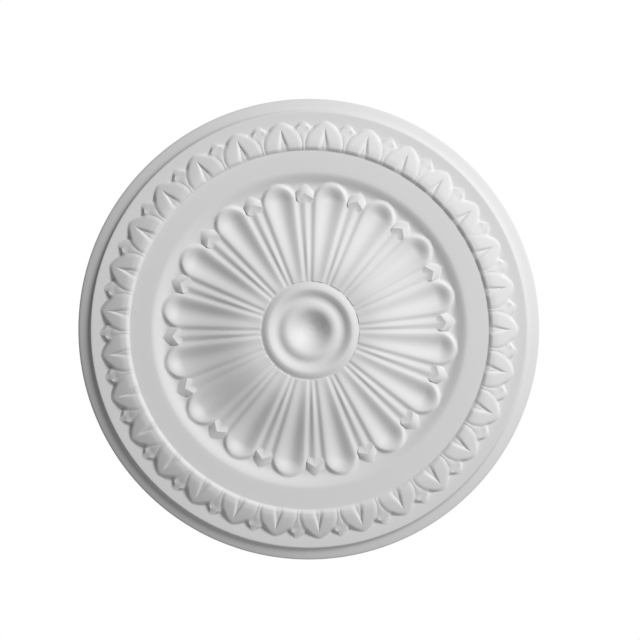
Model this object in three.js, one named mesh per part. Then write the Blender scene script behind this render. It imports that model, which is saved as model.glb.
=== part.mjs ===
// A moulded ceiling rose: a boss with a dish, a flower of fluted petals with rods and spearheads
// between them, a plain band, and a border of leaves inside a stepped rim. It is one casting.
//
// Millimetres, +Z up. The flat back lies in the plane y = 0 with its middle at the origin, and the
// ornament faces -Y, so the rose stands upright as if it hung on a wall. Angles are in degrees,
// from +X towards +Z. Heights are measured from the back, towards the viewer.
//
// The face is drawn as lines of points, each line worked out from the sizes below, and the strip
// between two neighbouring lines is filled with facets.

import * as THREE from "three";

const { smoothstep, degToRad, radToDeg } = THREE.MathUtils;

// Overall size
const ROSE_RADIUS = 235;
const EDGE_HEIGHT = 4.9;
const EDGE_ROUNDING = 1;

// Turned boss in the middle: radius and height of each point of its outline
const DISH_RADIUS = 24.5;
const DISH_RIM_HEIGHT = 30.1;
const DISH_DEPTH = 12.1;
const DISH_BOWL = 1.3;
const DISH_STEPS = 4;
const BOSS_OUTLINE = [
  [27.5, 29.6],
  [30.5, 28.5],
  [33, 28.1],
  [38.5, 30.7],
  [42.2, 32.2],
  [45.5, 31.4],
  [48.2, 29.8],
];
const BOSS_RADIUS = 49.8;
const BOSS_SIDES = 48;

// Ground of the flower, which falls from a shoulder round the boss to a low floor at the petal ends
// and rises again in a cove to the plain band
const SHOULDER_HEIGHT = 29.7;
const SHOULDER_RADIUS = 61;
const SHOULDER_SAG = 0.4;
const FLOOR_HEIGHT = 14.3;
const FLOOR_RADIUS = 136;
const FLOOR_DIP = 1.3;
const DIP_START = 132;
const DIP_END = 146;
const COVE_START = 145.5;
const COVE_END = 161;
const COVE_RISE = 5.8;
const COVE_MIDDLE_RADIUS = 156.5;

// Petals
const PETAL_COUNT = 16;
const PETAL_TURN = 13.85;
const FLOWER_RADIUS = 152;
const PETAL_HALF_ANGLE = 8.55;
const RIM_FOCUS = 16.8;
const RIM_HALF_ANGLE = 7.19;
const RIM_TIP_RADIUS = 148.6;
const RIM_HEIGHT_INNER = 0.6;
const RIM_HEIGHT_OUTER = 1.6;
const TROUGH_START = 48.5;
const TROUGH_FALL = 0.055;
const TROUGH_SHARES = [0.32, 0.62];
const BARB_FOOT_RADIUS = 129.2;
const PETAL_ROWS = [BOSS_RADIUS, 68, 88, 109, BARB_FOOT_RADIUS];
const END_STEPS = 4;

// Rods and spearheads between the petals
const ROD_HEIGHT = 1.4;
const ROD_RISE_START = 46;
const ROD_RISE_END = 92;
const ROD_END_RADIUS = 134.6;
const SPEAR_BACK = { radius: 138, half: 0, raise: 3.3 };
const SPEAR_BARB = { radius: 132.6, half: 2.3, raise: 2.0 };
const SPEAR_SHOULDER = { radius: 141.2, half: 3.0, raise: 0.9 };
const SPEAR_TIP = { radius: 147.8, half: 0, raise: 0.8 };
const SPEAR_SKIRT = 0.9;

// Plain band
const BAND_OUTER_RADIUS = 182.6;
const BAND_HEIGHT = 18.8;
const COVE_SIDES = 64;

// Border of leaves on a rounded bed that falls outwards
const LEAF_COUNT = 29;
const LEAF_TURN = -0.22;
const BORDER_INNER_RADIUS = 186.4;
const BORDER_OUTER_RADIUS = 213.9;
const BED_INNER_HEIGHT = 20.3;
const BED_OUTER_HEIGHT = 11.4;
const BED_ROUNDNESS = 1.25;
const FILLET_HEIGHT = 12.5;
const LEAF_BASE_RADIUS = 188.2;
const LEAF_ARC_RADIUS = 25.9;
const LEAF_ARC_OFFSET = 6.6;
const LEAF_THICKNESS = 2.1;
const LEAF_EDGE_THICKNESS = 1.9;
const LEAF_BASE_THICKNESS = 1.1;
const LEAF_BEVEL = 3.1;
const LOBE_CREST = { across: 11.5, tip: 207.6 };
const CLEFT_EDGE = { across: 5.6, tip: 205.2 };
const CLEFT_FLOOR = { across: 2.2, tip: 199.5 };
const CLEFT_FLOOR_THICKNESS = 0.2;
const MIDRIB_HEIGHT = 0.4;
const LEAF_STEPS = 4;

// Dart between two leaves
const DART_TIP_RADIUS = 213.2;
const DART_BACK_RADIUS = 208.8;
const DART_BACK_RAISE = 2.2;
const DART_HOLLOW_RADIUS = 203;
const DART_HOLLOW_RAISE = 1.1;
const DART_FOOT_RAISE = 0.9;
const DART_FOOT_ROWS = 3;

// Fillet, step and sloping rim outside the leaves: radius and height
const RIM_OUTLINE = [
  [221.4, 12.9],
  [223.6, 10.8],
  [228, 7.9],
  [ROSE_RADIUS - EDGE_ROUNDING, EDGE_HEIGHT],
];
const RIM_SIDES = 87;

// The carver's spacing wanders by a fraction of a degree, once and twice round the rose
const PETAL_WANDER = { once: 0.37, oncePhase: 17, twice: 0.35, twicePhase: 14 };
const LEAF_WANDER = { once: 0.48, oncePhase: 125, twice: 0.66, twicePhase: 19 };

// Vertices closer than this are one vertex
const SAME_PLACE = 0.001;

const places = [];
const facets = [];
const numberOf = new Map();

function wander({ once, oncePhase, twice, twicePhase }, angle) {
  const first = once * Math.cos(degToRad(angle + oncePhase));
  const second = twice * Math.cos(degToRad(2 * angle + twicePhase));
  return first + second;
}

// The number of the vertex at a radius, angle and height. The same place gives the same vertex.
function vertex(radius, angle, height) {
  const across = radius * Math.cos(degToRad(angle));
  const up = radius * Math.sin(degToRad(angle));
  const position = new THREE.Vector3(across, -height, up);
  const key = position.toArray().map((value) => Math.round(value / SAME_PLACE)).join();
  if (!numberOf.has(key)) {
    numberOf.set(key, places.length);
    places.push({ radius, angle: THREE.MathUtils.euclideanModulo(angle, 360), position });
  }
  return numberOf.get(key);
}

const FRONT = () => new THREE.Vector3(0, -1, 0);
const BACK = () => new THREE.Vector3(0, 1, 0);
const OUTWARD = (middle) => new THREE.Vector3(middle.x, 0, middle.z);

// One triangle, wound so that it faces the way that facing gives for its middle.
function facet(a, b, c, facing) {
  if (a === b || b === c || c === a) return;
  const [p, q, r] = [a, b, c].map((number) => places[number].position);
  const normal = q.clone().sub(p).cross(r.clone().sub(p));
  const middle = p.clone().add(q).add(r).divideScalar(3);
  facets.push(normal.dot(facing(middle)) > 0 ? [a, b, c] : [a, c, b]);
}

// Fills the strip between two lines of vertices, which may differ in number, with the shorter diagonals.
function bridge(lineA, lineB, facing = FRONT) {
  const gap = (a, b) => places[a].position.distanceTo(places[b].position);
  let i = 0;
  let j = 0;
  while (i < lineA.length - 1 || j < lineB.length - 1) {
    const alongA = i < lineA.length - 1 ? gap(lineA[i + 1], lineB[j]) : Infinity;
    const alongB = j < lineB.length - 1 ? gap(lineA[i], lineB[j + 1]) : Infinity;
    if (alongA <= alongB) {
      facet(lineA[i], lineA[i + 1], lineB[j], facing);
      i += 1;
    } else {
      facet(lineA[i], lineB[j], lineB[j + 1], facing);
      j += 1;
    }
  }
}

// A turned ring of evenly spaced vertices, closed by its first one.
function ring(radius, height, sides) {
  return Array.from({ length: sides + 1 }, (_, i) => vertex(radius, (i * 360) / sides, height));
}

// The vertices already made at a radius, in order round the rose, closed by the first one.
function ringMade(radius) {
  const there = places.map((place, number) => ({ ...place, number }));
  const round = there.filter((place) => Math.abs(place.radius - radius) < SAME_PLACE);
  round.sort((a, b) => a.angle - b.angle);
  return [...round, round[0]].map((place) => place.number);
}

// Height of the flower's ground and of the cove round it, without petals or rods.
function ground(radius) {
  const fall = (SHOULDER_HEIGHT - FLOOR_HEIGHT) * smoothstep(radius, SHOULDER_RADIUS, FLOOR_RADIUS);
  const inside = Math.max(0, (SHOULDER_RADIUS - radius) / (SHOULDER_RADIUS - BOSS_RADIUS));
  const dip = FLOOR_DIP * smoothstep(radius, DIP_START, DIP_END);
  const cove = COVE_RISE * smoothstep(radius, COVE_START, COVE_END);
  return SHOULDER_HEIGHT - fall - SHOULDER_SAG * inside ** 2 - dip + cove;
}

// Radius and angle of a point given across and along the middle line of a petal or leaf.
function polar(across, along) {
  return { radius: Math.hypot(across, along), turn: radToDeg(Math.atan2(across, along)) };
}

// One side of a line round a petal: straight out from the boss, then round the end to the tip.
// The straight part aims at a focus on the middle line, and the end is an arc that it touches.
function petalLine({ focus, halfAngle, tip, share }) {
  const sine = Math.sin(degToRad(halfAngle));
  const slope = share * Math.tan(degToRad(halfAngle));
  const arcMiddle = focus + (tip - focus) / (1 + sine);
  const arcRadius = share * (tip - arcMiddle);
  const points = PETAL_ROWS.map((radius) => {
    const turn = Math.atan(slope * (1 - focus / radius));
    return { radius, turn: radToDeg(turn) };
  });
  for (let i = 0; i <= END_STEPS; i++) {
    const angle = THREE.MathUtils.lerp(-degToRad(halfAngle), Math.PI / 2, i / END_STEPS);
    points.push(polar(arcRadius * Math.cos(angle), arcMiddle + arcRadius * Math.sin(angle)));
  }
  return points;
}

const FOOT_LINE = petalLine({ focus: 0, halfAngle: PETAL_HALF_ANGLE, tip: FLOWER_RADIUS, share: 1 });
const crestLine = (share) =>
  petalLine({ focus: RIM_FOCUS, halfAngle: RIM_HALF_ANGLE, tip: RIM_TIP_RADIUS, share });

// Height above the ground at a share of the way from the middle of the trough to the rim's crest.
function petalRaise(radius, share) {
  const outwards = smoothstep(radius, BOSS_RADIUS, FLOOR_RADIUS);
  const rim = THREE.MathUtils.lerp(RIM_HEIGHT_INNER, RIM_HEIGHT_OUTER, outwards);
  const deepest = TROUGH_FALL * (Math.min(radius, FLOOR_RADIUS) - TROUGH_START);
  return rim - deepest * (1 - share ** 2) ** 2;
}

function rodRaise(radius) {
  return ROD_HEIGHT * smoothstep(radius, ROD_RISE_START, ROD_RISE_END);
}

// One petal and half of the gap on either side of it, from the boss to the foot of the cove.
function petal(number) {
  const pitch = 360 / PETAL_COUNT;
  const middle = PETAL_TURN + number * pitch;
  for (const side of [-1, 1]) {
    const place = (radius, turn, height) => {
      const angle = middle + side * turn;
      return vertex(radius, angle + wander(PETAL_WANDER, angle), height);
    };
    const troughEnd = ({ radius, turn }, share) =>
      place(radius, turn, ground(Math.min(radius, DIP_START)) + petalRaise(radius, share));
    const foot = FOOT_LINE.map(({ radius, turn }) => place(radius, turn, ground(radius)));
    const trough = [0, ...TROUGH_SHARES, 1].map((share) =>
      crestLine(share).map((point) => troughEnd(point, share)),
    );
    const lines = [...trough, foot];
    lines.slice(1).forEach((line, i) => bridge(lines[i], line));
    gap(place, foot, pitch / 2);
  }
}

// Half of the gap beside a petal: the rod, the spearhead at its end and the low floor round it.
function gap(place, foot, halfPitch) {
  const straight = foot.slice(0, PETAL_ROWS.length);
  const barbFoot = straight.at(-1);
  const rodRows = [...PETAL_ROWS, ROD_END_RADIUS];
  const rod = rodRows.map((radius) => place(radius, halfPitch, ground(radius) + rodRaise(radius)));
  bridge(straight, rod);

  const top = ({ radius, half, raise }) => place(radius, halfPitch - half, ground(radius) + raise);
  const under = ({ radius, half }) => {
    const outer = radius + SPEAR_SKIRT;
    const turn = half === 0 ? 0 : half + radToDeg(SPEAR_SKIRT / radius);
    return place(outer, halfPitch - turn, ground(outer));
  };
  const [back, barb, shoulder, tip] = [SPEAR_BACK, SPEAR_BARB, SPEAR_SHOULDER, SPEAR_TIP].map(top);
  const round = foot.slice(PETAL_ROWS.length);
  const skirt = [round[0], under(SPEAR_SHOULDER), under(SPEAR_TIP)];
  bridge([rod.at(-1), barbFoot], [back, barb]);
  bridge([barb, shoulder, tip], [back, back, back]);
  bridge([barb, shoulder, tip], [barbFoot, ...skirt]);

  const coveFoot = [halfPitch, halfPitch / 2].map((turn) =>
    place(FLOWER_RADIUS, turn, ground(FLOWER_RADIUS)),
  );
  bridge([...skirt, ...coveFoot, round.at(-1)], round);
}

// Height of the rounded bed that the leaves lie on.
function bed(radius) {
  const out = (radius - BORDER_INNER_RADIUS) / (BORDER_OUTER_RADIUS - BORDER_INNER_RADIUS);
  const share = THREE.MathUtils.clamp(out, 0, 1) ** BED_ROUNDNESS;
  return THREE.MathUtils.lerp(BED_INNER_HEIGHT, BED_OUTER_HEIGHT, share);
}

// How far the fillet outside the leaves lies over the bed.
const filletRaise = (radius) => FILLET_HEIGHT - bed(radius);

// One side of a leaf's pointed arch, drawn in by an inset, from the inner edge of the border to the tip.
function archLine(inset) {
  const radius = LEAF_ARC_RADIUS - inset;
  const points = [];
  for (let i = 0; i <= LEAF_STEPS; i++) {
    const last = Math.acos(LEAF_ARC_OFFSET / radius);
    const angle = (last * i) / LEAF_STEPS;
    const across = radius * Math.cos(angle) - LEAF_ARC_OFFSET;
    points.push(polar(across, LEAF_BASE_RADIUS + radius * Math.sin(angle)));
  }
  const start = { radius: BORDER_INNER_RADIUS, turn: points[0].turn };
  return [start, ...points];
}

// A straight line from a place across on the inner edge of the border to a tip on the middle line.
function slantLine({ across, tip }) {
  const start = radToDeg(Math.asin(across / BORDER_INNER_RADIUS));
  const points = [{ radius: BORDER_INNER_RADIUS, turn: start }];
  for (let i = 1; i <= LEAF_STEPS; i++) {
    const share = i / LEAF_STEPS;
    const along = THREE.MathUtils.lerp(BORDER_INNER_RADIUS, tip, share);
    points.push(polar(across * (1 - share), along));
  }
  return points;
}

// One leaf and half of the dart on either side of it, from the step at the band to the fillet.
function leaf(number) {
  const pitch = 360 / LEAF_COUNT;
  const middle = LEAF_TURN + number * pitch;
  for (const side of [-1, 1]) {
    const place = (radius, turn, raise) => {
      const angle = middle + side * turn;
      return vertex(radius, angle + wander(LEAF_WANDER, angle), bed(radius) + raise);
    };
    const draw = (points, raise) => points.map((p, i) => place(p.radius, p.turn, raise(i, p.radius)));
    const midrib = (i) => CLEFT_FLOOR_THICKNESS + MIDRIB_HEIGHT * (1 - i / LEAF_STEPS);
    const fromBase = (thickness) => (i) => (i === 0 ? LEAF_BASE_THICKNESS : thickness);
    const foot = (i, radius) => (i < DART_FOOT_ROWS ? DART_FOOT_RAISE : filletRaise(radius));
    const lines = [
      draw(slantLine({ across: 0, tip: CLEFT_FLOOR.tip }), midrib),
      draw(slantLine(CLEFT_FLOOR), () => CLEFT_FLOOR_THICKNESS),
      draw(slantLine(CLEFT_EDGE), fromBase(LEAF_EDGE_THICKNESS)),
      draw(slantLine(LOBE_CREST), fromBase(LEAF_THICKNESS)),
      draw(archLine(LEAF_BEVEL), fromBase(LEAF_EDGE_THICKNESS)),
      draw(archLine(0), foot),
    ];
    lines.slice(1).forEach((line, i) => bridge(lines[i], line));
    dart(place, lines.at(-1), pitch / 2);
  }
}

// Half of the dart beside a leaf, and the fillet outside the dart's and the leaf's tips.
function dart(place, outline, halfPitch) {
  const back = [
    place(BORDER_INNER_RADIUS, halfPitch, DART_FOOT_RAISE),
    place(DART_HOLLOW_RADIUS, halfPitch, DART_HOLLOW_RAISE),
    place(DART_BACK_RADIUS, halfPitch, DART_BACK_RAISE),
    place(DART_TIP_RADIUS, halfPitch, filletRaise(DART_TIP_RADIUS)),
  ];
  const beside = outline.slice(0, DART_FOOT_ROWS + 1);
  const free = outline.slice(DART_FOOT_ROWS);
  bridge(beside, back);
  const outer = [halfPitch, halfPitch / 2, 0].map((turn) =>
    place(BORDER_OUTER_RADIUS, turn, filletRaise(BORDER_OUTER_RADIUS)),
  );
  bridge(free, [back.at(-1), ...outer]);
}

// The dish and rings of the boss, out to the feet of the petals.
function boss() {
  const dish = Array.from({ length: DISH_STEPS }, (_, i) => {
    const share = i / DISH_STEPS;
    const depth = DISH_DEPTH * Math.cos((share * Math.PI) / 2) ** DISH_BOWL;
    return [share * DISH_RADIUS, DISH_RIM_HEIGHT - depth];
  });
  const outline = [...dish, [DISH_RADIUS, DISH_RIM_HEIGHT], ...BOSS_OUTLINE];
  const rings = outline.map(([radius, height]) => ring(radius, height, BOSS_SIDES));
  rings.slice(1).forEach((line, i) => bridge(rings[i], line));
  bridge(rings.at(-1), ringMade(BOSS_RADIUS));
}

// Everything between the flower and the leaves, and the rim, the edge and the back.
function frame() {
  const cove = ring(COVE_MIDDLE_RADIUS, ground(COVE_MIDDLE_RADIUS), COVE_SIDES);
  const bandInner = ring(COVE_END, BAND_HEIGHT, COVE_SIDES);
  const bandOuter = ring(BAND_OUTER_RADIUS, BAND_HEIGHT, RIM_SIDES);
  bridge(ringMade(FLOWER_RADIUS), cove);
  bridge(cove, bandInner);
  bridge(bandInner, bandOuter);
  bridge(bandOuter, ringMade(BORDER_INNER_RADIUS));

  const rim = RIM_OUTLINE.map(([radius, height]) => ring(radius, height, RIM_SIDES));
  bridge(ringMade(BORDER_OUTER_RADIUS), rim[0]);
  rim.slice(1).forEach((line, i) => bridge(rim[i], line));
  const edge = ring(ROSE_RADIUS, EDGE_HEIGHT - EDGE_ROUNDING, RIM_SIDES);
  const back = ring(ROSE_RADIUS, 0, RIM_SIDES);
  bridge(rim.at(-1), edge);
  bridge(edge, back, OUTWARD);
  bridge(back, back.map(() => vertex(0, 0, 0)), BACK);
}

for (let number = 0; number < PETAL_COUNT; number++) petal(number);
for (let number = 0; number < LEAF_COUNT; number++) leaf(number);
boss();
frame();

const geometry = new THREE.BufferGeometry();
const coordinates = places.flatMap(({ position }) => position.toArray());
geometry.setAttribute("position", new THREE.Float32BufferAttribute(coordinates, 3));
geometry.setIndex(facets.flat());
geometry.computeVertexNormals();

const whitePaint = new THREE.MeshStandardMaterial({
  color: 0xf0f0ee,
  roughness: 0.55,
  metalness: 0,
  flatShading: true,
});
const rose = new THREE.Mesh(geometry, whitePaint);
rose.name = "ceiling_rose";

const part = new THREE.Group();
part.add(rose);

export default part;
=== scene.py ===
"""The looks of a moulded ceiling rose: its full carving, its white paint and the studio."""

import math

import bmesh
import bpy
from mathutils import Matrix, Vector


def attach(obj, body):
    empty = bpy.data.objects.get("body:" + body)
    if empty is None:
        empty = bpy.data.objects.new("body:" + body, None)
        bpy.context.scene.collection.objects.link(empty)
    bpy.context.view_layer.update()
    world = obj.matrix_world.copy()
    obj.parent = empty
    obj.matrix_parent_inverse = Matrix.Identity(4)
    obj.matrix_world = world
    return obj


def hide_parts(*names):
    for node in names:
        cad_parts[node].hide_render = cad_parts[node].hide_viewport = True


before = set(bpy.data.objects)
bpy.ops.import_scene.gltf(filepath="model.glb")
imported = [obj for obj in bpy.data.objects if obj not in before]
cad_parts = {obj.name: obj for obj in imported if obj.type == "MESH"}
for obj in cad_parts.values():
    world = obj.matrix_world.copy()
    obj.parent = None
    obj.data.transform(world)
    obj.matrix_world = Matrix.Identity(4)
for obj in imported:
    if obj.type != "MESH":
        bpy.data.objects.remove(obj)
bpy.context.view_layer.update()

# Sizes are in millimetres and angles in degrees. A point of the face is given by its radius, its
# angle from +X towards +Z, and its height from the flat back towards the viewer, along -Y.
MM = 0.001

# Points that fall in the same place are one vertex: places to a millimetre, and distances
PLACES_PER_MM = 500
SAME_PLACE = 0.002
SAME_PLACE_OF_COPIES = 0.004
SAME_RADIUS = 0.01

# Turned boss: radius and height of each point of its outline, joined by a smooth curve
BOSS_OUTLINE = [
    (0, 18.0), (6, 19.3), (12, 22.7), (18, 27.3), (21.6, 29.5), (24.5, 30.1), (27.5, 29.6),
    (30.5, 28.5), (32.5, 28.2), (35, 28.7), (38.5, 30.7), (42.2, 32.2), (45.5, 31.4), (48.2, 29.9),
    (49.8, 29.3),
]
BOSS_RINGS = 44
BOSS_SIDES = 160

# Ground of the flower: a shoulder round the boss, a low floor at the petal ends, and the cove
FLOWER_INNER_RADIUS = 50.2
SHOULDER_HEIGHT = 29.7
SHOULDER_RADIUS = 61.0
SHOULDER_SAG = 0.4
FLOOR_HEIGHT = 14.3
FLOOR_RADIUS = 136.0
FLOOR_DIP = 1.3
DIP_START = 132.0
DIP_END = 146.0
FLOWER_RADIUS = 152.0
COVE_START = 145.5
COVE_END = 161.0
COVE_RISE = 5.8
COVE_STEPS = 8

# Petals
PETAL_COUNT = 16
PETAL_TURN = 13.85
PETAL_HALF_ANGLE = 8.55
RIM_FOCUS = 16.8
RIM_HALF_ANGLE = 7.19
RIM_TIP_RADIUS = 147.6
RIM_HEIGHT_INNER = 0.9
RIM_HEIGHT_OUTER = 1.7
TROUGH_START = 48.5
TROUGH_FALL = 0.055
TROUGH_LINES = 10
FLANK_LINES = 5
PETAL_ROWS = 42
END_STEPS = 16

# Rods and spearheads between the petals: radius, half angle and height over the ground
ROD_HEIGHT = 1.4
ROD_RISE_START = 38.0
ROD_RISE_END = 84.0
ROD_LINES = 8
ROD_END_RADIUS = 135.2
BARB_FOOT_RADIUS = 129.2
SPEAR_BACK = (139.2, 0.0, 3.3)
SPEAR_BARB = (133.4, 3.5, 2.2)
SPEAR_SHOULDER = (140.4, 3.5, 1.1)
SPEAR_TIP = (147.8, 0.0, 0.8)
SPEAR_TIP_FOOT = 149.4
SPEAR_SIDE_STEPS = 5
FLOOR_LINES = 4

# Share of the petal's flank that each of its rows beside a spearhead keeps
SPEAR_BORDER = [1.0, 0.85, 0.7, 0.7, 0.75, 0.85, 1.0]

# Plain band
BAND_HEIGHT = 18.8
BAND_RADII = [165.0, 173.0, 181.2, 182.0]
BAND_SIDES = 232

# Border of leaves on a rounded bed that falls outwards
LEAF_COUNT = 29
LEAF_TURN = -0.22
BORDER_INNER_RADIUS = 186.4
BORDER_OUTER_RADIUS = 213.9
BED_INNER_HEIGHT = 20.3
BED_OUTER_HEIGHT = 11.4
BED_ROUNDNESS = 1.25
FILLET_HEIGHT = 13.1
STEP_SHARES = [0.08, 0.2, 0.4, 0.65, 0.85]

# Leaves: places across on the inner edge of the border, and radii on the middle line
LEAF_BASE_RADIUS = 188.2
LEAF_ARC_RADIUS = 25.9
LEAF_ARC_OFFSET = 6.6
LEAF_BEVEL = 3.1
LEAF_STEPS = 14
LOBE_CREST = (11.5, 207.6)
CLEFT_EDGE = (5.6, 205.2)
CLEFT_FLOOR = (2.2, 199.5)
MIDRIB_HEIGHT = 0.4
CLEFT_EDGE_THICKNESS = 2.0
LOBE_THICKNESS = 2.2
BEVEL_THICKNESS = 2.1
VALLEY_THICKNESS = 0.9
BASE_SHARE = 0.7
BASE_RISE = 5.0
MIDRIB_LINES = 2
CLEFT_LINES = 3
LOBE_LINES = 4
SHOULDER_LINES = 4
BEVEL_LINES = 3

# Darts between the leaves: rows along the ridge, with heights for all but the last, on the fillet
DART_RADII = [BORDER_INNER_RADIUS, 189.4, 192.4, 195.4, 198.2, 200.8, 203.8, 209.0, 213.2]
DART_HEIGHTS = [1.0, 1.1, 1.3, 1.4, 1.3, 1.1, 0.7, 2.2]
DART_COLUMNS = [0.12, 0.3, 0.5, 0.75, 1.0]
DART_ARCH = 0.7
DART_BORDER_POWER = 4
BED_LINES = 3

# Rim outside the leaves: fillet, step, hollow slope, rounded edge, side and back
RIM_OUTLINE = [
    (214.6, FILLET_HEIGHT), (217.5, FILLET_HEIGHT), (220.5, 13.15), (221.3, 13.1), (221.8, 12.8),
    (222.3, 12.0), (223.0, 10.7), (223.8, 9.6), (225.0, 8.7), (226.8, 7.8), (229.0, 6.9),
    (231.2, 6.05), (233.2, 5.25), (234.4, 4.6), (234.9, 4.0), (235.0, 3.3), (235.0, 0.5),
    (234.6, 0.0), (160.0, 0.0), (80.0, 0.0),
]
RIM_SIDES = 232

# The carver's spacing wanders once and twice round the rose: angles and phases
PETAL_WANDER = (0.37, 17.0, 0.35, 14.0)
LEAF_WANDER = (0.48, 125.0, 0.66, 19.0)

SHARP_ANGLE = math.radians(41)


def mix(a, b, share):
    return a + (b - a) * share


def smooth(value, low, high):
    share = min(1.0, max(0.0, (value - low) / (high - low)))
    return share * share * (3 - 2 * share)


class Surface:
    """Faces between lines of points. The same place in two lines gives the same vertex."""

    def __init__(self):
        self.mesh = bmesh.new()
        self.made = {}

    def point(self, radius, angle, height):
        turned = math.radians(angle)
        position = (radius * math.cos(turned), -height, radius * math.sin(turned))
        key = tuple(round(value * PLACES_PER_MM) for value in position)
        if key not in self.made:
            self.made[key] = self.mesh.verts.new(Vector(position) * MM)
        return self.made[key]

    def line(self, points):
        return [self.point(*point) for point in points]

    def side_line(self, side, points):
        """A line on one side of a sector's middle line: side is -1 or 1."""
        return self.line([(radius, side * turn, height) for radius, turn, height in points])

    def face(self, *corners):
        different = list(dict.fromkeys(corners))
        if len(different) > 2:
            self.mesh.faces.new(different)

    def weave(self, lines):
        """Fills between neighbouring lines that have the same number of vertices."""
        for here, there in zip(lines, lines[1:]):
            for a, b, c, d in zip(here, here[1:], there[1:], there):
                self.face(a, b, c, d)

    def bridge(self, here, there):
        """Fills between two lines that differ in number, with the shorter diagonals."""
        i = j = 0
        while i < len(here) - 1 or j < len(there) - 1:
            along_here = along_there = math.inf
            if i < len(here) - 1:
                along_here = (here[i + 1].co - there[j].co).length
            if j < len(there) - 1:
                along_there = (here[i].co - there[j + 1].co).length
            if along_here <= along_there:
                self.face(here[i], here[i + 1], there[j])
                i += 1
            else:
                self.face(here[i], there[j], there[j + 1])
                j += 1

    def ring(self, radius, height, sides):
        """A turned ring of evenly spaced vertices, closed by its first one."""
        ring = self.line([(radius, 360 * i / sides, height) for i in range(sides)])
        return ring + ring[:1]

    def made_at(self, radius):
        """The vertices already there at a radius, in order round the rose, closed by the first."""

        def beyond(vertex):
            return math.hypot(vertex.co.x, vertex.co.z) / MM - radius

        there = [vertex for vertex in self.mesh.verts if abs(beyond(vertex)) < SAME_RADIUS]
        there.sort(key=lambda vertex: math.atan2(vertex.co.z, vertex.co.x) % math.tau)
        return there + there[:1]

    def finish(self, name):
        """The surface as an object, with what lies in the same place merged."""
        bmesh.ops.remove_doubles(self.mesh, verts=self.mesh.verts, dist=SAME_PLACE * MM)
        bmesh.ops.recalc_face_normals(self.mesh, faces=self.mesh.faces)
        data = bpy.data.meshes.new(name)
        self.mesh.to_mesh(data)
        self.mesh.free()
        made = bpy.data.objects.new(name, data)
        bpy.context.scene.collection.objects.link(made)
        return made


def curve_through(points, count):
    """Points along a smooth curve through the given ones, rising and falling only where they do."""
    slopes = [(b[1] - a[1]) / (b[0] - a[0]) for a, b in zip(points, points[1:])]
    tangents = [slopes[0]]
    for before, after in zip(slopes, slopes[1:]):
        tangents.append(0.0 if before * after <= 0 else 2 * before * after / (before + after))
    tangents.append(slopes[-1])
    result = []
    for step in range(count + 1):
        x = mix(points[0][0], points[-1][0], step / count)
        index = max(i for i in range(len(slopes)) if points[i][0] <= x or i == 0)
        (x0, y0), (x1, y1) = points[index], points[index + 1]
        width = x1 - x0
        share = (x - x0) / width
        left = 1 - share
        start = (1 + 2 * share) * left**2 * y0 + share * left**2 * width * tangents[index]
        end = share * share * (3 - 2 * share) * y1
        end += share * share * (share - 1) * width * tangents[index + 1]
        result.append((x, start + end))
    return result


def ground(radius):
    """Height of the flower's ground and of the cove round it, without petals or rods."""
    fall = (SHOULDER_HEIGHT - FLOOR_HEIGHT) * smooth(radius, SHOULDER_RADIUS, FLOOR_RADIUS)
    inside = max(0.0, (SHOULDER_RADIUS - radius) / (SHOULDER_RADIUS - FLOWER_INNER_RADIUS))
    dip = FLOOR_DIP * smooth(radius, DIP_START, DIP_END)
    cove = COVE_RISE * smooth(radius, COVE_START, COVE_END)
    return SHOULDER_HEIGHT - fall - SHOULDER_SAG * inside**2 - dip + cove


def polar(across, along):
    """Radius and angle of a point given across and along the middle line of a petal or leaf."""
    return math.hypot(across, along), math.degrees(math.atan2(across, along))


def petal_line(focus, half_angle, tip, share):
    """One side of a line round a petal: straight from the boss, then round the end to the tip.

    The straight part aims at a focus on the middle line, and the end is an arc that it touches.
    """
    half = math.radians(half_angle)
    middle = focus + (tip - focus) / (1 + math.sin(half))
    points = []
    for row in range(PETAL_ROWS + 1):
        radius = mix(FLOWER_INNER_RADIUS, BARB_FOOT_RADIUS, row / PETAL_ROWS)
        turn = math.atan(share * math.tan(half) * (1 - focus / radius))
        points.append((radius, math.degrees(turn)))
    for step in range(END_STEPS + 1):
        angle = mix(-half, math.pi / 2, step / END_STEPS)
        reach = share * (tip - middle)
        points.append(polar(reach * math.cos(angle), middle + reach * math.sin(angle)))
    return points


def rim_raise(radius):
    """Height of a petal's rim over the ground."""
    outwards = smooth(radius, FLOWER_INNER_RADIUS, FLOOR_RADIUS)
    return mix(RIM_HEIGHT_INNER, RIM_HEIGHT_OUTER, outwards)


def trough_line(share):
    """A line of the trough at a share of the way from its middle to the crest of the rim."""
    line = []
    for radius, turn in petal_line(RIM_FOCUS, RIM_HALF_ANGLE, RIM_TIP_RADIUS, share):
        depth = TROUGH_FALL * (min(radius, FLOOR_RADIUS) - TROUGH_START) * (1 - share**2) ** 2
        line.append((radius, turn, ground(min(radius, DIP_START)) + rim_raise(radius) - depth))
    return line


def flank_line(share):
    """A line down the outside of the rim, at a share of the way from its crest to its foot.

    Along the spearheads the lines stop short of the foot, where the spearhead covers the flank.
    """
    crest = petal_line(RIM_FOCUS, RIM_HALF_ANGLE, RIM_TIP_RADIUS, 1)
    foot = petal_line(0, PETAL_HALF_ANGLE, FLOWER_RADIUS, 1)
    line = []
    for row, ((crest_radius, crest_turn), (foot_radius, foot_turn)) in enumerate(zip(crest, foot)):
        beside_spear = row - PETAL_ROWS
        here = share
        if 0 <= beside_spear < len(SPEAR_BORDER):
            here *= SPEAR_BORDER[beside_spear]
        radius = mix(crest_radius, foot_radius, here)
        turn = mix(crest_turn, foot_turn, here)
        top = ground(min(crest_radius, DIP_START)) + rim_raise(crest_radius)
        line.append((radius, turn, mix(top, ground(foot_radius), smooth(here, 0, 1))))
    return line


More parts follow.
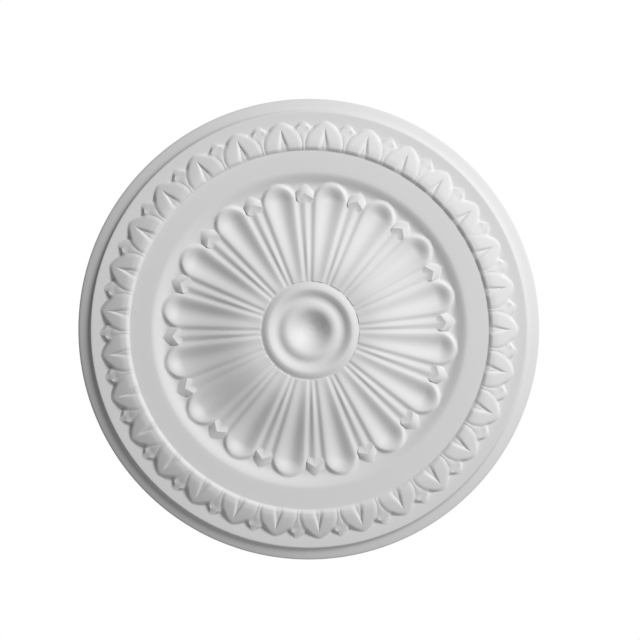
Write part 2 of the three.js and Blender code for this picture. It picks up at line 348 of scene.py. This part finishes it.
def rod_line(share):
    """A line of the rod, at a share of the way from the petal's foot to the rod's ridge."""
    line = []
    for radius, foot_turn in petal_line(0, PETAL_HALF_ANGLE, FLOWER_RADIUS, 1)[: PETAL_ROWS + 1]:
        height = ROD_HEIGHT * smooth(radius, ROD_RISE_START, ROD_RISE_END)
        turn = mix(foot_turn, 180 / PETAL_COUNT, share)
        line.append((radius, turn, ground(radius) + height * smooth(share, 0, 1)))
    return line


def along_path(corners, counts):
    """Points along straight stretches between corners, with a number of steps for each stretch."""
    points = [corners[0]]
    for start, end, count in zip(corners, corners[1:], counts):
        for i in range(1, count + 1):
            points.append(tuple(mix(a, b, i / count) for a, b in zip(start, end)))
    return points


def spear_and_floor(sector, side, border, rod_end_line):
    """The spearhead at a rod's end, and the floor between it, the petal's round end and the cove.

    The border is the lowest line of the petal's flank, from the rod's last row to the petal's tip.
    """
    half_pitch = 180 / PETAL_COUNT

    def top(radius, half, height):
        return sector.point(radius, side * (half_pitch - half), ground(radius) + height)

    def laid(points):
        return sector.side_line(side, [(radius, turn, ground(radius)) for radius, turn in points])

    back = top(*SPEAR_BACK)
    barb = top(*SPEAR_BARB)
    shoulder = top(*SPEAR_SHOULDER)
    tip = top(*SPEAR_TIP)
    rod_ridge = top(ROD_END_RADIUS, 0, ROD_HEIGHT)
    last = len(SPEAR_BORDER) - 1
    beside = sector.side_line(side, border[: last + 1])
    round_end = [(radius, turn) for radius, turn, _ in border[last:]]
    tip_foot = (SPEAR_TIP_FOOT, half_pitch)
    edge = [(FLOWER_RADIUS, half_pitch), (FLOWER_RADIUS, 0)]
    # The outside has as many points as the round end that it faces
    edge_steps = len(round_end) - SPEAR_SIDE_STEPS - 2
    outside = along_path([round_end[0], tip_foot, *edge], [SPEAR_SIDE_STEPS, 1, edge_steps])

    sector.bridge(rod_end_line, [beside[0], rod_ridge])
    sector.bridge([beside[0], rod_ridge], [barb, back])
    sector.bridge(beside, [barb, shoulder])
    sector.bridge([barb, shoulder, tip], [back, back])
    sector.bridge(laid(outside[: SPEAR_SIDE_STEPS + 1]), [shoulder, tip])
    lines = []
    for i in range(FLOOR_LINES + 1):
        share = i / FLOOR_LINES
        pairs = zip(round_end, outside)
        lines.append(laid([(mix(a[0], b[0], share), mix(a[1], b[1], share)) for a, b in pairs]))
    sector.weave(lines)


def petal_sector():
    """One petal with half of the gap on either side, from the boss to the foot of the cove."""
    sector = Surface()
    shares = [math.sin(math.pi / 2 * i / TROUGH_LINES) for i in range(TROUGH_LINES + 1)]
    petal = [trough_line(share) for share in shares]
    petal += [flank_line(i / FLANK_LINES) for i in range(1, FLANK_LINES + 1)]
    rod = [rod_line(i / ROD_LINES) for i in range(ROD_LINES + 1)]
    for side in (-1, 1):
        for lines in (petal, rod):
            sector.weave([sector.side_line(side, line) for line in lines])
        rod_end_line = sector.side_line(side, [line[-1] for line in rod])
        spear_and_floor(sector, side, petal[-1][PETAL_ROWS:], rod_end_line)
    return sector.finish("petal_sector")


def bed(radius):
    """Height of the rounded bed that the leaves lie on."""
    out = (radius - BORDER_INNER_RADIUS) / (BORDER_OUTER_RADIUS - BORDER_INNER_RADIUS)
    share = min(1.0, max(0.0, out)) ** BED_ROUNDNESS
    return mix(BED_INNER_HEIGHT, BED_OUTER_HEIGHT, share)


def risen(radius):
    """Share of its thickness that a leaf has reached at a radius: some at the step, then all."""
    beyond = smooth(radius, BORDER_INNER_RADIUS, BORDER_INNER_RADIUS + BASE_RISE)
    return mix(BASE_SHARE, 1, beyond)


def arch_line(inset):
    """One side of a leaf's pointed arch, drawn in by an inset, as radius and angle."""
    reach = LEAF_ARC_RADIUS - inset
    last = math.acos(LEAF_ARC_OFFSET / reach)
    points = []
    for i in range(LEAF_STEPS):
        angle = last * i / (LEAF_STEPS - 1)
        across = reach * math.cos(angle) - LEAF_ARC_OFFSET
        points.append(polar(across, LEAF_BASE_RADIUS + reach * math.sin(angle)))
    return [(BORDER_INNER_RADIUS, points[0][1]), *points]


def slant_line(across, tip):
    """A straight line from a place across on the border's inner edge to a tip in the middle."""
    points = [(BORDER_INNER_RADIUS, math.degrees(math.asin(across / BORDER_INNER_RADIUS)))]
    for i in range(1, LEAF_STEPS + 1):
        share = i / LEAF_STEPS
        points.append(polar(across * (1 - share), mix(BORDER_INNER_RADIUS, tip, share)))
    return points


def leaf_lines():
    """The lines of half a leaf, from its midrib to its outline, as radius, angle and height."""
    midrib = slant_line(0, CLEFT_FLOOR[1])
    floor = slant_line(*CLEFT_FLOOR)
    edge = slant_line(*CLEFT_EDGE)
    crest = slant_line(*LOBE_CREST)
    bevel = arch_line(LEAF_BEVEL)
    outline = arch_line(0)

    def midrib_height(row):
        return MIDRIB_HEIGHT * (1 - row / LEAF_STEPS)

    def foot_height(row):
        """Height of the leaf's outline over the bed: that of a dart's side, then the fillet's."""
        if row < len(DART_HEIGHTS):
            return VALLEY_THICKNESS
        return FILLET_HEIGHT - bed(outline[row][0])

    def even(height):
        """The same height in every row."""
        return lambda row: height

    def falling(share):
        return 1 - share**2

    def level(share):
        return 1 - share

    def rising(share):
        return (1 - share) ** 2

    stretches = [
        (midrib, floor, midrib_height, even(0.0), level, MIDRIB_LINES),
        (floor, edge, even(0.0), even(CLEFT_EDGE_THICKNESS), level, CLEFT_LINES),
        (edge, crest, even(CLEFT_EDGE_THICKNESS), even(LOBE_THICKNESS), rising, LOBE_LINES),
        (crest, bevel, even(LOBE_THICKNESS), even(BEVEL_THICKNESS), falling, SHOULDER_LINES),
        (bevel, outline, even(BEVEL_THICKNESS), foot_height, level, BEVEL_LINES),
    ]
    first = []
    for row, (radius, turn) in enumerate(midrib):
        first.append((radius, turn, bed(radius) + midrib_height(row)))
    lines = [first]
    for start, end, start_height, end_height, fade, count in stretches:
        for i in range(1, count + 1):
            share = i / count
            line = []
            for row, (a, b) in enumerate(zip(start, end)):
                radius = mix(a[0], b[0], share)
                turn = mix(a[1], b[1], share)
                thickness = risen(radius) * mix(end_height(row), start_height(row), fade(share))
                line.append((radius, turn, bed(radius) + thickness))
            lines.append(line)
    return lines


def dart_lines(outline):
    """The rows of half a dart, each from the leaf's outline to the dart's ridge."""
    half_pitch = 180 / LEAF_COUNT
    rows = []
    for index, (foot, ridge_radius) in enumerate(zip(outline, DART_RADII)):
        radius, turn, height = foot
        row = [foot]
        for column in DART_COLUMNS:
            back = 1 - column
            arch = DART_ARCH * back + (1 - DART_ARCH) * back**2
            here = mix(ridge_radius, radius, arch)
            level = FILLET_HEIGHT
            if index < len(DART_HEIGHTS):
                border = height - bed(radius)
                level = bed(here) + mix(DART_HEIGHTS[index], border, back**DART_BORDER_POWER)
            row.append((here, mix(half_pitch, turn, back), level))
        rows.append(row)
    return rows


def leaf_sector():
    """One leaf with half of the dart on either side, and the fillet beyond them."""
    sector = Surface()
    lines = leaf_lines()
    outline = lines[-1]
    darts = dart_lines(outline)
    from_tip = outline[len(darts) - 1 :][::-1]
    inner = from_tip + darts[-1][1:]
    outer = BORDER_OUTER_RADIUS
    beds = [inner]
    for i in range(1, BED_LINES + 1):
        share = i / BED_LINES
        beds.append([(mix(radius, outer, share), turn, FILLET_HEIGHT) for radius, turn, _ in inner])
    for side in (-1, 1):
        for group in (lines, darts, beds):
            sector.weave([sector.side_line(side, line) for line in group])
    return sector.finish("leaf_sector")


class Value:
    """A number in a node tree. Arithmetic on it adds Math nodes."""

    def __init__(self, tree, socket):
        self.tree = tree
        self.socket = socket

    def __add__(self, other):
        return self.tree.maths("ADD", self, other)

    def __rsub__(self, other):
        return self.tree.maths("SUBTRACT", other, self)

    def __mul__(self, other):
        return self.tree.maths("MULTIPLY", self, other)

    def __truediv__(self, other):
        return self.tree.maths("DIVIDE", self, other)

    __radd__ = __add__


class Tree:
    """Adds nodes to a node tree."""

    def __init__(self, tree):
        self.tree = tree

    def node(self, kind, settings=None, inputs=None):
        """A node of a type, with its settings and the values or links of its sockets."""
        made = self.tree.nodes.new(kind)
        for name, value in (settings or {}).items():
            setattr(made, name, value)
        for name, value in (inputs or {}).items():
            if isinstance(value, Value):
                value = value.socket
            if isinstance(value, bpy.types.NodeSocket):
                self.tree.links.new(value, made.inputs[name])
            else:
                made.inputs[name].default_value = value
        return made

    def maths(self, operation, *values):
        made = self.node("ShaderNodeMath", {"operation": operation}, dict(enumerate(values)))
        return Value(self, made.outputs[0])


def ring_of_copies_tree():
    """Turns copies of a sector round the rose and lets their spacing wander."""
    group = bpy.data.node_groups.new("ring_of_copies", "GeometryNodeTree")
    sockets = group.interface
    sockets.new_socket("Geometry", in_out="OUTPUT", socket_type="NodeSocketGeometry")
    sockets.new_socket("Sector", in_out="INPUT", socket_type="NodeSocketGeometry")
    sockets.new_socket("Count", in_out="INPUT", socket_type="NodeSocketInt")
    for name in ("First Angle", "Once", "Once Phase", "Twice", "Twice Phase", "Merge Distance"):
        sockets.new_socket(name, in_out="INPUT", socket_type="NodeSocketFloat")

    tree = Tree(group)
    given = tree.node("NodeGroupInput").outputs
    number = {name: Value(tree, given[name]) for name in given.keys() if name}
    index = Value(tree, tree.node("GeometryNodeInputIndex").outputs[0])
    turn = number["First Angle"] + index * math.tau / number["Count"]
    facing = tree.node("ShaderNodeCombineXYZ", None, {"Y": 0 - turn})
    points = tree.node("GeometryNodePoints", None, {"Count": given["Count"]})
    copies = tree.node("GeometryNodeInstanceOnPoints", None, {
        "Points": points.outputs[0],
        "Instance": given["Sector"],
        "Rotation": facing.outputs[0],
    })
    real = tree.node("GeometryNodeRealizeInstances", None, {"Geometry": copies.outputs[0]})
    merged = tree.node("GeometryNodeMergeByDistance", None, {
        "Geometry": real.outputs[0],
        "Distance": given["Merge Distance"],
    })

    where = tree.node("GeometryNodeInputPosition").outputs[0]
    apart = tree.node("ShaderNodeSeparateXYZ", None, {"Vector": where})
    angle = tree.maths("ARCTAN2", apart.outputs["Z"], apart.outputs["X"])
    once = number["Once"] * tree.maths("COSINE", angle + number["Once Phase"])
    twice = number["Twice"] * tree.maths("COSINE", angle * 2 + number["Twice Phase"])
    wandered = tree.node("ShaderNodeVectorRotate", {"rotation_type": "Y_AXIS"}, {
        "Vector": where,
        "Angle": 0 - (once + twice),
    })
    moved = tree.node("GeometryNodeSetPosition", None, {
        "Geometry": merged.outputs[0],
        "Position": wandered.outputs[0],
    })
    tree.node("NodeGroupOutput", None, {"Geometry": moved.outputs[0]})
    return group


def ring_of_copies(sector, tree, count, first, wander):
    """The sector's mesh copied round the rose by the tree. The sector's object is removed."""
    modifier = sector.modifiers.new("ring", "NODES")
    modifier.node_group = tree
    values = {
        "Count": count,
        "First Angle": math.radians(first),
        "Once": math.radians(wander[0]),
        "Once Phase": math.radians(wander[1]),
        "Twice": math.radians(wander[2]),
        "Twice Phase": math.radians(wander[3]),
        "Merge Distance": SAME_PLACE_OF_COPIES * MM,
    }
    for socket in tree.interface.items_tree:
        if socket.in_out == "INPUT" and socket.name in values:
            modifier[socket.identifier] = values[socket.name]
    graph = bpy.context.evaluated_depsgraph_get()
    mesh = bpy.data.meshes.new_from_object(sector.evaluated_get(graph))
    bpy.data.objects.remove(sector)
    return mesh


def boss(rose):
    """The dish and rings of the boss, out to the feet of the petals."""
    outline = curve_through(BOSS_OUTLINE, BOSS_RINGS)
    rings = [rose.ring(radius, height, BOSS_SIDES) for radius, height in outline[1:]]
    middle = rose.point(0, 0, BOSS_OUTLINE[0][1])
    rose.weave([[middle] * (BOSS_SIDES + 1), *rings])
    rose.bridge(rings[-1], rose.made_at(FLOWER_INNER_RADIUS))


def cove_and_band(rose):
    """The cove round the flower, the plain band, and the step up to the leaves."""
    flower_edge = rose.made_at(FLOWER_RADIUS)
    leaf_edge = rose.made_at(BORDER_INNER_RADIUS)
    radii = [mix(FLOWER_RADIUS, COVE_END, i / COVE_STEPS) for i in range(1, COVE_STEPS + 1)]
    rings = [rose.ring(radius, ground(radius), BAND_SIDES) for radius in radii]
    rings += [rose.ring(radius, BAND_HEIGHT, BAND_SIDES) for radius in BAND_RADII]
    rose.bridge(flower_edge, rings[0])
    rose.weave(rings)
    steps = []
    for share in STEP_SHARES:
        radius = mix(BAND_RADII[-1], BORDER_INNER_RADIUS, share)
        step = []
        for vertex in leaf_edge:
            angle = math.degrees(math.atan2(vertex.co.z, vertex.co.x))
            height = mix(BAND_HEIGHT, -vertex.co.y / MM, math.sin(math.pi / 2 * share))
            step.append((radius, angle, height))
        steps.append(rose.line(step))
    rose.bridge(rings[-1], steps[0])
    rose.weave([*steps, leaf_edge])


def rim(rose):
    """The fillet, step and slope outside the leaves, the side, and the flat back."""
    rings = [rose.ring(radius, height, RIM_SIDES) for radius, height in RIM_OUTLINE]
    rose.bridge(rose.made_at(BORDER_OUTER_RADIUS), rings[0])
    rose.weave([*rings, [rose.point(0, 0, 0)] * (RIM_SIDES + 1)])


def ceiling_rose(material):
    """The whole casting as one closed mesh."""
    tree = ring_of_copies_tree()
    petals = ring_of_copies(petal_sector(), tree, PETAL_COUNT, PETAL_TURN, PETAL_WANDER)
    leaves = ring_of_copies(leaf_sector(), tree, LEAF_COUNT, LEAF_TURN, LEAF_WANDER)
    rose = Surface()
    for mesh in (petals, leaves):
        rose.mesh.from_mesh(mesh)
        bpy.data.meshes.remove(mesh)
    boss(rose)
    cove_and_band(rose)
    rim(rose)
    piece = rose.finish("moulded_rose")
    piece.data.materials.append(material)
    for polygon in piece.data.polygons:
        polygon.use_smooth = True
    piece.data.set_sharp_from_angle(angle=SHARP_ANGLE)
    return piece


# Paint in front and foam behind: tones, the edge between them, and noise as scale, detail, roughness
PAINT_TONES = [(0.80, 0.80, 0.80, 1), (0.84, 0.84, 0.84, 1)]
FOAM_TONES = [(0.66, 0.63, 0.55, 1), (0.79, 0.77, 0.70, 1)]
PAINT_EDGE = -0.9 * MM
FOAM_EDGE = -0.1 * MM
CLOUDS = (9.0, 3.0, 0.5)
GRAIN = (420.0, 3.0, 0.6)
PORES = (1400.0, 2.0, 0.5)
GRAIN_SHARE = 0.35
PORES_SHARE = 0.25
FOAM_GRAIN_SHARE = 2.0
BUMP_STRENGTH = 0.25
BUMP_DEPTH = 0.12 * MM
PAINT_ROUGHNESS = 0.74
CLOUD_ROUGHNESS = 0.1
FOAM_ROUGHNESS = 0.12
GLOSS = 0.2


def white_paint():
    """Matt white primer over moulded foam: faintly clouded in front, rougher and bare behind."""
    material = bpy.data.materials.new("white_paint")
    material.use_nodes = True
    material.node_tree.nodes.clear()
    tree = Tree(material.node_tree)
    where = tree.node("ShaderNodeTexCoord").outputs["Object"]
    apart = tree.node("ShaderNodeSeparateXYZ", None, {"Vector": where})
    depth = Value(tree, apart.outputs["Y"])
    back = tree.node("ShaderNodeMapRange", {"interpolation_type": "SMOOTHSTEP"}, {
        "Value": depth, "From Min": PAINT_EDGE, "From Max": FOAM_EDGE,
    })
    on_back = Value(tree, back.outputs[0])

    def noise(scale, detail, roughness):
        made = tree.node("ShaderNodeTexNoise", None, {
            "Vector": where, "Scale": scale, "Detail": detail, "Roughness": roughness,
        })
        return Value(tree, made.outputs["Fac"])

    def mixed(factor, first, second):
        made = tree.node("ShaderNodeMix", {"data_type": "RGBA"}, {
            "Factor": factor, "A": first, "B": second,
        })
        return made.outputs["Result"]

    clouds = noise(*CLOUDS)
    grain = noise(*GRAIN)
    pores = noise(*PORES)
    colour = mixed(on_back, mixed(clouds, *PAINT_TONES), mixed(grain, *FOAM_TONES))
    relief = grain * GRAIN_SHARE + pores * PORES_SHARE + on_back * grain * FOAM_GRAIN_SHARE
    bump = tree.node("ShaderNodeBump", None, {
        "Strength": BUMP_STRENGTH, "Distance": BUMP_DEPTH, "Height": relief,
    })
    shader = tree.node("ShaderNodeBsdfPrincipled", None, {
        "Base Color": colour,
        "Roughness": PAINT_ROUGHNESS + clouds * CLOUD_ROUGHNESS + on_back * FOAM_ROUGHNESS,
        "Specular IOR Level": GLOSS,
        "Normal": bump.outputs["Normal"],
    })
    tree.node("ShaderNodeOutputMaterial", None, {"Surface": shader.outputs[0]})
    return material


# Studio: metres, and the key light's angles off the rose's axis and up from its right-hand side
FLOOR_LEVEL = -2.2
FLOOR_HALF_WIDTH = 4.5
FLOOR_COLOUR = (0.75, 0.75, 0.75, 1)
FLOOR_ROUGHNESS = 0.9
KEY_OFF_AXIS = math.radians(50)
KEY_AZIMUTH = math.radians(42)
KEY_DISTANCE = 3.9
KEY_SIZE = 1.6
KEY_POWER = 137.0
REAR_PLACE = Vector((-1.6, 3.2, 1.5))
REAR_SIZE = 2.0
REAR_POWER = 50.0
AMBIENT = 0.09


def floor():
    """A pale floor well below the rose."""
    material = bpy.data.materials.new("pale_floor")
    material.use_nodes = True
    shader = material.node_tree.nodes["Principled BSDF"]
    shader.inputs["Base Color"].default_value = FLOOR_COLOUR
    shader.inputs["Roughness"].default_value = FLOOR_ROUGHNESS

    surface = bmesh.new()
    corners = [(-1, -1), (1, -1), (1, 1), (-1, 1)]
    wide = FLOOR_HALF_WIDTH
    surface.faces.new([surface.verts.new((x * wide, y * wide, FLOOR_LEVEL)) for x, y in corners])
    data = bpy.data.meshes.new("floor")
    surface.to_mesh(data)
    surface.free()
    made = bpy.data.objects.new("floor", data)
    bpy.context.scene.collection.objects.link(made)
    made.data.materials.append(material)
    return made


def lamp(name, location, size, power):
    data = bpy.data.lights.new(name, "AREA")
    data.shape = "DISK"
    data.size = size
    data.energy = power
    made = bpy.data.objects.new(name, data)
    made.location = location
    made.rotation_euler = (-location).to_track_quat("-Z", "Y").to_euler()
    bpy.context.scene.collection.objects.link(made)


def studio():
    """A soft key light from the upper right, a soft light behind, and a white surround."""
    sideways = math.sin(KEY_OFF_AXIS)
    key = Vector((
        sideways * math.cos(KEY_AZIMUTH),
        -math.cos(KEY_OFF_AXIS),
        sideways * math.sin(KEY_AZIMUTH),
    ))
    lamp("key_light", key * KEY_DISTANCE, KEY_SIZE, KEY_POWER)
    lamp("rear_light", REAR_PLACE, REAR_SIZE, REAR_POWER)

    world = bpy.data.worlds.new("surround")
    bpy.context.scene.world = world
    world.use_nodes = True
    world.node_tree.nodes.clear()
    tree = Tree(world.node_tree)
    seen = tree.node("ShaderNodeLightPath").outputs["Is Camera Ray"]
    strength = Value(tree, seen) * (1 - AMBIENT) + AMBIENT
    light = tree.node("ShaderNodeBackground", None, {"Color": (1, 1, 1, 1), "Strength": strength})
    tree.node("ShaderNodeOutputWorld", None, {"Surface": light.outputs[0]})


# The photograph's view: long lens, a little to the left of the rose and above it
LENS = 120.0
CAMERA_DISTANCE = 2.179
CAMERA_LEFT = math.radians(1.6)
CAMERA_ABOVE = math.radians(1.6)
AIM = Vector((0.0109, 0.0, 0.0100))


def camera():
    data = bpy.data.cameras.new("camera")
    data.lens = LENS
    made = bpy.data.objects.new("camera", data)
    level = math.cos(CAMERA_ABOVE)
    away = Vector((
        -math.sin(CAMERA_LEFT) * level,
        -math.cos(CAMERA_LEFT) * level,
        math.sin(CAMERA_ABOVE),
    ))
    made.location = AIM + away * CAMERA_DISTANCE
    made.rotation_euler = (-away).to_track_quat("-Z", "Y").to_euler()
    bpy.context.scene.collection.objects.link(made)
    bpy.context.scene.camera = made


camera()
studio()
bpy.context.scene.view_settings.view_transform = "Standard"
floor()

rose_piece = ceiling_rose(white_paint())
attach(rose_piece, "root")
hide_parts("ceiling_rose")
